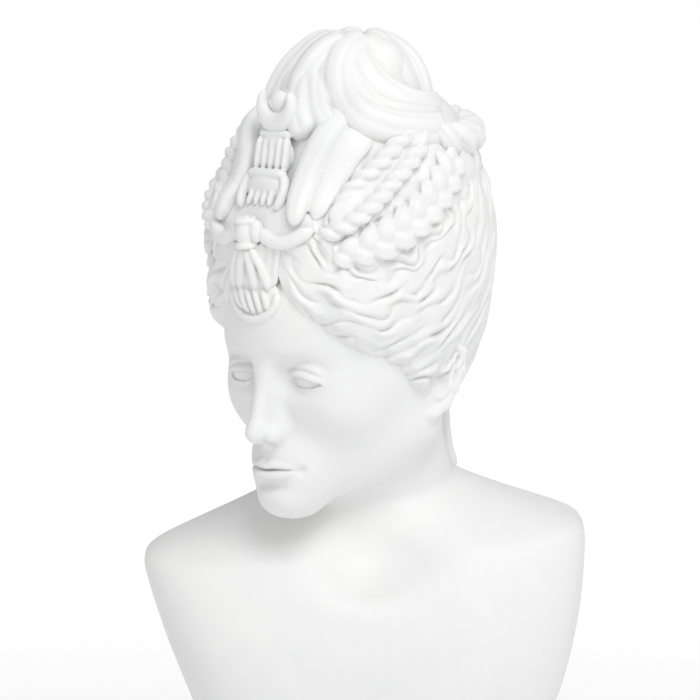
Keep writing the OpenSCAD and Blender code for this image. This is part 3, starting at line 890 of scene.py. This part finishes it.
def crescent():
    a = np.radians(np.linspace(-122, 122, 80))
    z = 113.6 - 9.2 * np.cos(a)
    path = np.stack([8.7 * np.sin(a), -34.8 + 0.16 * (z - 104), z], 1)
    thick = 0.9 + 3.7 * np.cos(a * 0.7) ** 1.1
    return [tube(path, face_on(path), thick, 2.2 + 1.2 * np.cos(a * 0.6), around=36),
            bar([(0, -35.5, 101), (0, -33.5, 105)], 4, 3), ball_of((0, -31.5, 113.5), (4.6, 3.6, 5.0))]


def band():
    half, out = hair_path([[5, 61.5], [10, 58], [15, 56.2], [20, 56.8], [25, 59.2], [30, 61.5]], lift=1.0)
    one = tube(half, out, 3.3, 3.2, ridges=4, groove=0.07, around=36)
    return [one] + mirrored([one])


def knot():
    parts = [ball_of((0, -59.2, 60.5), (4.6, 4.6, 7.2), 30)]
    for side in (-1, 1):
        parts.append(ball_of((side * 5.4, -58.2, 61), (3.2, 3.4, 5.2), 24))
    ring = np.radians(np.linspace(0, 360, 60))
    for z, r in ((54.8, 4.0), (65.8, 3.6)):
        path = np.stack([r * np.sin(ring), -59.0 - r * np.cos(ring), z + 0 * ring], 1)
        parts.append(tube(path, path - np.array([0, -59.0, z]) + 1e-6, 1.4, 1.4, ends=False))
    return parts


def pendant():
    front = lambda x, z, out: (x, -58.4 - out + 0.0165 * x * x - 0.012 * (z - 30), z)
    parts = [ball_of((0, -55.6, 31.0), (14.0, 3.6, 11.0), 40)]
    for i in range(9):
        s = (i - 4) / 4
        veil = [front(14.5 * s, 56, -0.6), front(12.2 * s, 46, -0.4), front(10.5 * s, 36, 0)]
        parts.append(bar(veil, 2.4, 1.3, around=16))
    for side in (-1, 1):
        rim = [front(15.5 * side, 56, 0), front(13.2 * side, 46, 0), front(12 * side, 37, 0)]
        parts.append(bar(rim, 1.4, 1.4))
    for x0, x1, x2, w in ((0.8, 2.4, 3.2, 2.3), (-1.0, -3.8, -5.6, 2.5), (3.0, 7.4, 9.6, 1.9),
                          (-3.0, -8.2, -10.6, 1.9)):
        strand = [front(x0, 54, 1.8), front(x1, 46, 1.9), front(x2, 38, 1.4), front(x2, 35, 0.8)]
        parts.append(bar(strand, w, 2.0, ridges=3, groove=0.08))
    a = np.radians(np.linspace(-99, 99, 80))
    rim = np.array([front(13.0 * math.sin(v), 32.0 - 10.4 * math.cos(v), 0.8) for v in a])
    parts.append(tube(rim, face_on(rim), 1.9, 2.3, around=24))
    for i in range(5):
        s = i - 2
        parts.append(bar([front(s * 4.4 - 2.2, 35.5, 1.2), front(s * 4.2, 30, 1.6),
                          front(s * 3.4 + 1.8, 24 + 0.5 * s * s, 1.2)], 1.55, 1.5))
    return parts


for node, maker, fine in (("comb_ornament", comb, 0.4), ("crescent_ornament", crescent, 0.35),
                          ("front_band", band, 0.45), ("brow_knot", knot, 0.35),
                          ("brow_pendant", pendant, 0.35)):
    made[node] = pose_on_head(carved(node + "_carved", maker(), fine, 2))

hangs = [(34.6, 21.1, 303), (35.6, 19.6, 289), (36.4, 18.6, 275), (38.0, 17.6, 265), (41.3, 17.1, 256.5)]
ribbon = resample(smooth_rows(hangs, 8), 0.8)
strip = tube(ribbon, np.tile([1.0, -0.5, 0.0], (len(ribbon), 1)), 3.4, 4.2, 2, 0.10)
made["nape_ribbon"] = carved("nape_ribbon_carved", [strip], 0.45)

# the socle, turned: (radius, height) from its foot up
profile = [(0, 2), (61, 2), (62, 3), (62, 13), (61, 14), (58.2, 14.2)]
profile += [(54 + 5.6 * math.cos(a), 17.6 + 4 * math.sin(a)) for a in np.radians(np.linspace(-40, 80, 14))]
profile += [(53.5, 21.6), (53.5, 23.0), (51.5, 23.4)]
profile += [(51.0 - 11.5 * math.sin(a) ** 0.8, 23.6 + 23.5 * (1 - math.cos(a)) ** 0.9)
            for a in np.radians(np.linspace(6, 90, 22))]
profile += [(39.5, 49.4), (41.5, 49.6)]
profile += [(40.5 + 3.3 * math.cos(a), 52.2 + 2.4 * math.sin(a)) for a in np.radians(np.linspace(-70, 60, 12))]
profile += [(45.5, 55.0), (51.2, 55.2), (52, 56), (52, 63.2), (51.2, 64), (0, 64)]
profile = np.array(profile)
turned = np.radians(np.linspace(0, 360, 180, endpoint=False))
radii, heights = profile[:, :1], np.repeat(profile[:, 1:], len(turned), 1)
lathe = np.stack([radii * np.cos(turned), radii * np.sin(turned), heights], -1)
socle = mesh_object("socle_turned", lathe.reshape(-1, 3), weave_grid(lathe).tolist())
socle.data.set_sharp_from_angle(angle=math.radians(35))
made["socle"] = socle


# ---------------------------------------------------------------- materials
def new_material(name, values):
    """A material, its node tree and its shader, with the shader's own sockets set."""
    material = bpy.data.materials.new(name)
    material.use_nodes = True
    shader = material.node_tree.nodes["Principled BSDF"]
    for key, value in values.items():
        shader.inputs[key].default_value = value
    return material, material.node_tree, shader


def add_node(tree, kind, values=None, links=None, **settings):
    """A new node with its settings, its sockets' values, and links to its sockets."""
    node = tree.nodes.new("ShaderNode" + kind)
    for key, value in settings.items():
        setattr(node, key, value)
    for key, value in (values or {}).items():
        node.inputs[key].default_value = value
    for key, socket in (links or {}).items():
        tree.links.new(socket, node.inputs[key])
    return node


def add_ramp(tree, fac, *stops):
    """A colour ramp through (position, colour) stops."""
    node = add_node(tree, "ValToRGB", links={"Fac": fac})
    elements = node.color_ramp.elements
    for stop in stops[1:-1]:
        elements.new(stop[0])
    for element, (position, colour) in zip(elements, stops):
        element.position, element.color = position, (*colour, 1)
    return node.outputs["Color"]


def add_noise(tree, scale, **values):
    """Noise over the object's own coordinates."""
    where = add_node(tree, "TexCoord").outputs["Object"]
    values = {"Scale": scale, **values}
    return add_node(tree, "TexNoise", values, {"Vector": where}).outputs["Fac"]


def add_span(tree, value, low, high):
    return add_node(tree, "MapRange", {"To Min": low, "To Max": high}, {"Value": value}).outputs["Result"]


def add_bump(tree, height, strength, distance):
    values = {"Strength": strength, "Distance": distance}
    return add_node(tree, "Bump", values, {"Height": height}).outputs["Normal"]


def marble_material():
    material, t, shader = new_material("white_marble", {
        "Subsurface Weight": 0.12, "Subsurface Radius": (1.0, 0.95, 0.9), "Subsurface Scale": 0.0018,
        "Specular IOR Level": 0.42,
    })
    cloud = add_noise(t, 9, Detail=5, Roughness=0.6, Distortion=1.2)
    tint = add_ramp(t, cloud, (0.32, (0.765, 0.767, 0.775)), (0.62, (0.81, 0.808, 0.803)))
    vein = add_noise(t, 5, Detail=7, Distortion=2.2)
    thin = add_ramp(t, vein, (0.485, (0, 0, 0)), (0.5, (1, 1, 1)), (0.515, (0, 0, 0)))
    faint = add_node(t, "Math", {1: 0.035}, {0: thin}, operation="MULTIPLY").outputs[0]
    veined = add_node(t, "Mix", data_type="RGBA")
    veined.inputs["B"].default_value = (0.62, 0.63, 0.65, 1)
    t.links.new(faint, veined.inputs["Factor"])
    t.links.new(tint, veined.inputs["A"])
    # painted shade: the hollows a little darker, where shade falls in them
    shape = add_node(t, "NewGeometry")
    hollow = add_ramp(t, shape.outputs["Pointiness"], (0.40, (0.80, 0.79, 0.775)), (0.50, (1, 1, 1)))
    hollow_shade = add_node(t, "Mix", data_type="RGBA", blend_type="MULTIPLY")
    hollow_shade.inputs["Factor"].default_value = 0.6
    t.links.new(veined.outputs["Result"], hollow_shade.inputs["A"])
    t.links.new(hollow, hollow_shade.inputs["B"])
    t.links.new(hollow_shade.outputs["Result"], shader.inputs["Base Color"])
    t.links.new(add_span(t, add_noise(t, 60, Detail=4), 0.42, 0.60), shader.inputs["Roughness"])
    t.links.new(add_bump(t, add_noise(t, 900, Detail=3), 0.10, 0.0003), shader.inputs["Normal"])
    return material


def metal_material():
    material, t, shader = new_material("turned_steel", {"Metallic": 1.0, "Base Color": (0.62, 0.62, 0.63, 1)})
    t.links.new(add_span(t, add_noise(t, 240), 0.28, 0.5), shader.inputs["Roughness"])
    return material


def felt_material():
    material, t, shader = new_material("green_felt", {"Roughness": 0.95, "Sheen Weight": 0.35})
    noise = add_noise(t, 700, Detail=5)
    green = add_ramp(t, noise, (0, (0.015, 0.05, 0.03)), (1, (0.04, 0.11, 0.065)))
    t.links.new(green, shader.inputs["Base Color"])
    t.links.new(add_bump(t, noise, 0.5, 0.0004), shader.inputs["Normal"])
    return material


marble, steel, felt = marble_material(), metal_material(), felt_material()
for node, obj in made.items():
    obj.data.materials.clear()
    obj.data.materials.append(marble)
    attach(obj, "root")
    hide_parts(node)
hardware = [(node, steel, "steel") for node in ("nut", "washer", "tie_rod", "neck_dowel", "crown_pins")]
for node, material, name in hardware + [("base_felt", felt, "felt")]:
    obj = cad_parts[node]
    obj.data.materials.clear()
    obj.data.materials.append(material)

# ---------------------------------------------------------------- stage, light and camera
bpy.ops.mesh.primitive_circle_add(vertices=96, radius=14.0, fill_type="NGON", location=(0, 0, -0.0002))
floor = bpy.context.object
floor.name = "floor"
pale, t, shader = new_material("pale_floor", {
    "Base Color": (0.9, 0.9, 0.9, 1), "Roughness": 0.9, "Emission Color": (1, 1, 1, 1),
})
# painted light: the floor glows, brighter away from the bust and weaker near it, which reads as a painted shadow
# under the bust
spot = add_node(t, "NewGeometry").outputs["Position"]
near = add_node(t, "VectorMath", links={0: spot}, operation="LENGTH").outputs["Value"]
glow_with_painted_shadow = add_node(t, "MapRange", {"From Min": 0.1, "From Max": 1.5, "To Min": 0.10, "To Max": 0.40},
                {"Value": near}, interpolation_type="SMOOTHSTEP")
t.links.new(glow_with_painted_shadow.outputs["Result"], shader.inputs["Emission Strength"])
floor.data.materials.append(pale)

# a white studio all round, its light stronger from above and in front, seen by the camera as plain white
world = bpy.data.worlds.new("studio")
bpy.context.scene.world = world
world.use_nodes = True
t = world.node_tree
where = add_node(t, "TexCoord").outputs["Generated"]
side = add_node(t, "VectorMath", {1: (0.20, -0.42, 0.885)}, {0: where}, operation="DOT_PRODUCT")
ramp = add_node(t, "MapRange", {"From Min": -0.7, "From Max": 1.0, "To Min": 0.28, "To Max": 0.76},
                {"Value": side.outputs["Value"]}, interpolation_type="SMOOTHSTEP")
seen = add_node(t, "LightPath").outputs["Is Camera Ray"]
backdrop = add_node(t, "Mix", {"B": 1.0}, {"Factor": seen, "A": ramp.outputs["Result"]})
t.links.new(backdrop.outputs["Result"], t.nodes["Background"].inputs["Strength"])
t.nodes["Background"].inputs["Color"].default_value = (1, 1, 1, 1)

# a soft key light, high in front and a little to the right
key = bpy.data.lights.new("key", "AREA")
key.shape, key.size, key.energy = "SQUARE", 0.9, 14.5
lamp = bpy.data.objects.new("key", key)
bpy.context.scene.collection.objects.link(lamp)
place, target = Vector((0.38, -1.15, 1.70)), Vector((0, 0, 0.3))
lamp.location = place
lamp.rotation_euler = (target - place).to_track_quat("-Z", "Y").to_euler()

# the camera, raised a little above the level
eye = math.radians(8)
distance, seen_across = 2.2, 0.315  # metres
aim = Vector((-0.0054, 0, 0.3138))
camera = bpy.data.cameras.new("camera")
camera.lens, camera.sensor_width = 36 * distance / seen_across, 36
camera.clip_start, camera.clip_end = 0.1, 50
viewpoint = bpy.data.objects.new("camera", camera)
bpy.context.scene.collection.objects.link(viewpoint)
viewpoint.location = aim + Vector((0, -math.cos(eye), math.sin(eye))) * distance
viewpoint.rotation_euler = (aim - viewpoint.location).to_track_quat("-Z", "Y").to_euler()
bpy.context.scene.camera = viewpoint
bpy.context.scene.view_settings.view_transform = "Standard"

bpy.context.view_layer.update()
